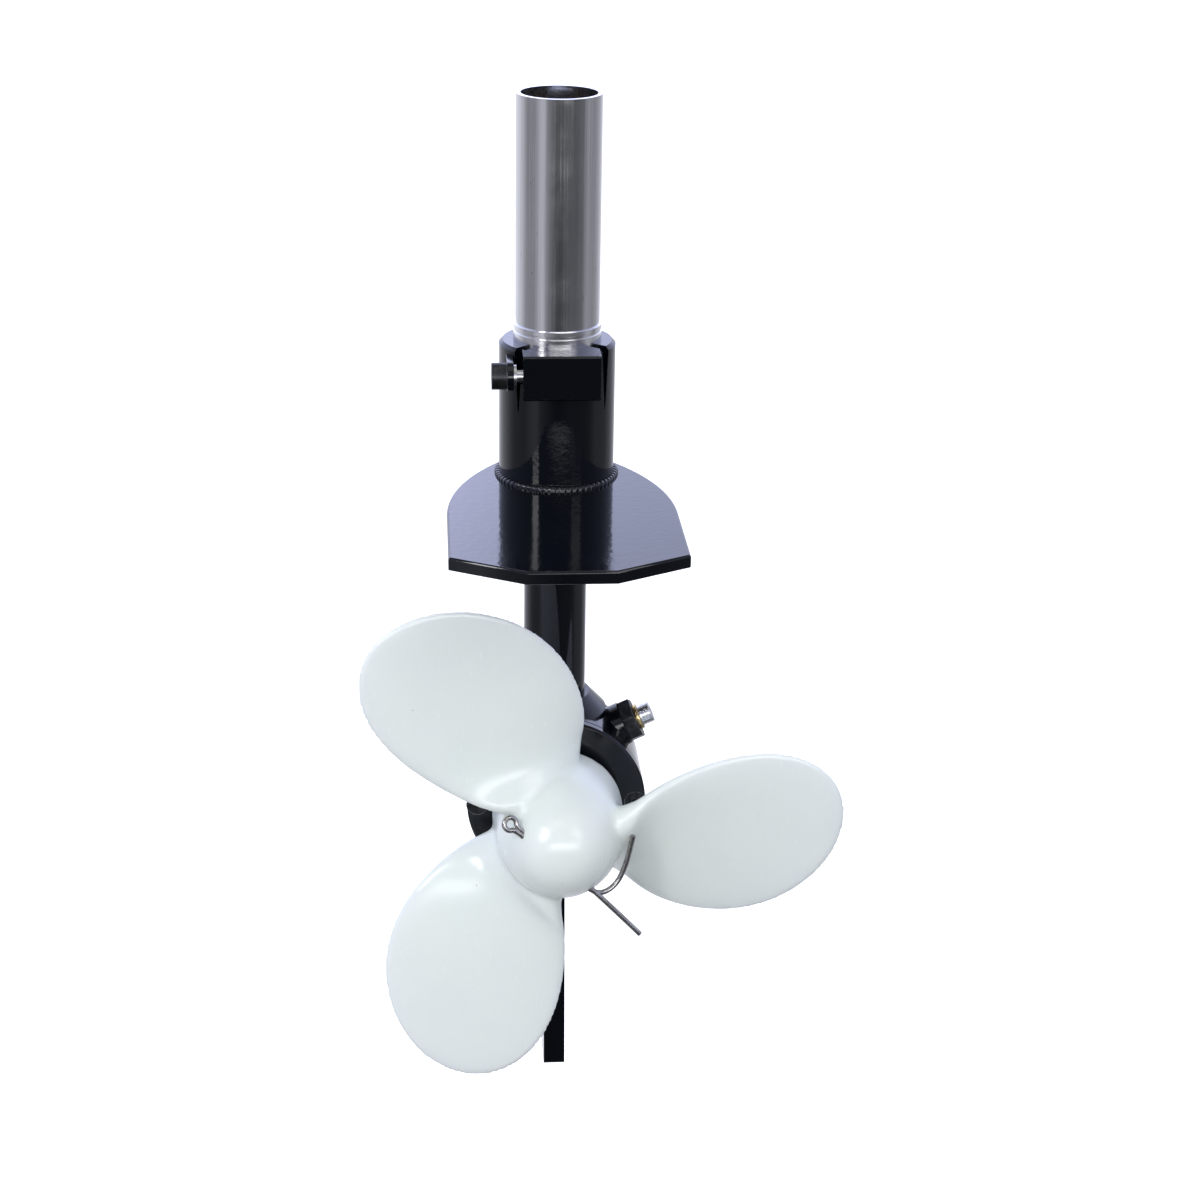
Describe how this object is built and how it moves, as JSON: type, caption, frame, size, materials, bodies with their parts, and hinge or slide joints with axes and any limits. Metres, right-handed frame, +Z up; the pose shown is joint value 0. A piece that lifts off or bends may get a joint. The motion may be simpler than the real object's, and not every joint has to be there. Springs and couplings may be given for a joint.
{
  "type": "trolling motor lower leg",
  "caption": "Long-leg trolling motor lower unit: clamped drive tube, anti-cavitation plate, bevel gear case, skeg and three-blade nylon propeller on a cotter pin.",
  "frame": {"origin": "on the drive tube's axis, at the tube's top end, where the engine or upper tube clamps on", "axes": "+Z up along the drive tube, -Y aft along the propeller shaft, +X to the right when looking forward from aft"},
  "size_m": [0.1628, 0.118, 0.351],
  "materials": {
    "bearing_steel": "polished bearing steel",
    "black_paint": "glossy black enamel",
    "brass_plug": "turned brass, slightly dull",
    "bronze_bush": "sintered bronze, oily",
    "bush_steel": "bright zinc plate",
    "case_paint": "glossy black enamel on a casting",
    "fastener_black": "black oxide, satin",
    "fastener_zinc": "bright zinc plate",
    "gasket_paper": "pressed fibre sheet",
    "gear_steel": "cut and hardened steel",
    "nylon_white": "translucent white nylon, satin",
    "seal_rubber": "moulded black nitrile",
    "shaft_steel": "ground steel",
    "stainless": "stainless wire, bright",
    "tube_aluminium": "polished, drawn tube"
  },
  "bodies": {
    "root": {"bearing_circlip": "gear_steel", "cavitation_plate": "black_paint", "clamp_block": "black_paint", "clamp_collar": "black_paint", "clamp_ear": "black_paint", "clamp_screw": "fastener_black", "clamp_washer": "fastener_zinc", "collar_weld": "black_paint", "cover_gasket": "gasket_paper", "cover_screws": "fastener_black", "drive_shaft_seal": "seal_rubber", "drive_tube": "tube_aluminium", "filler_plug": "fastener_black", "front_bearing_outer_ring": "bearing_steel", "gear_case": "case_paint", "lower_shaft_bush": "bronze_bush", "lower_tube": "black_paint", "middle_shaft_bush": "bronze_bush", "pinion_bearing_outer_ring": "bearing_steel", "rear_bearing_outer_ring": "bearing_steel", "rear_cover": "case_paint", "shaft_seal": "seal_rubber", "shim_bush": "bush_steel", "skeg": "case_paint", "tube_weld": "black_paint", "upper_shaft_bush": "bronze_bush", "vent_screw": "fastener_zinc", "vent_washer": "brass_plug"},
    "drive_line": {"drive_shaft": "shaft_steel", "pinion_key": "shaft_steel", "pinion_gear": "gear_steel", "pinion_circlip": "gear_steel", "pinion_bearing_inner_ring": "bearing_steel", "pinion_bearing_balls": "bearing_steel"},
    "propeller": {"prop_shaft": "shaft_steel", "gear_key": "shaft_steel", "shear_pin": "stainless", "driven_gear": "gear_steel", "gear_circlip": "gear_steel", "front_bearing_inner_ring": "bearing_steel", "front_bearing_balls": "bearing_steel", "rear_bearing_inner_ring": "bearing_steel", "rear_bearing_balls": "bearing_steel", "thrust_washer": "bronze_bush", "propeller": "nylon_white", "cotter_pin": "stainless"}
  },
  "joints": [
    {"name": "propeller_spin", "type": "hinge", "parent": "root", "child": "propeller", "pos_m": [0, -0.042, -0.2435], "axis": [0, -1, 0], "continuous": true},
    {"name": "drive_shaft_spin", "type": "hinge", "parent": "root", "child": "drive_line", "pos_m": [0, 0, -0.1], "axis": [0, 0, 1], "continuous": true}
  ],
  "couplings": [
    {"joint": "drive_shaft_spin", "follows": "propeller_spin", "ratio": -1.4286}
  ]
}
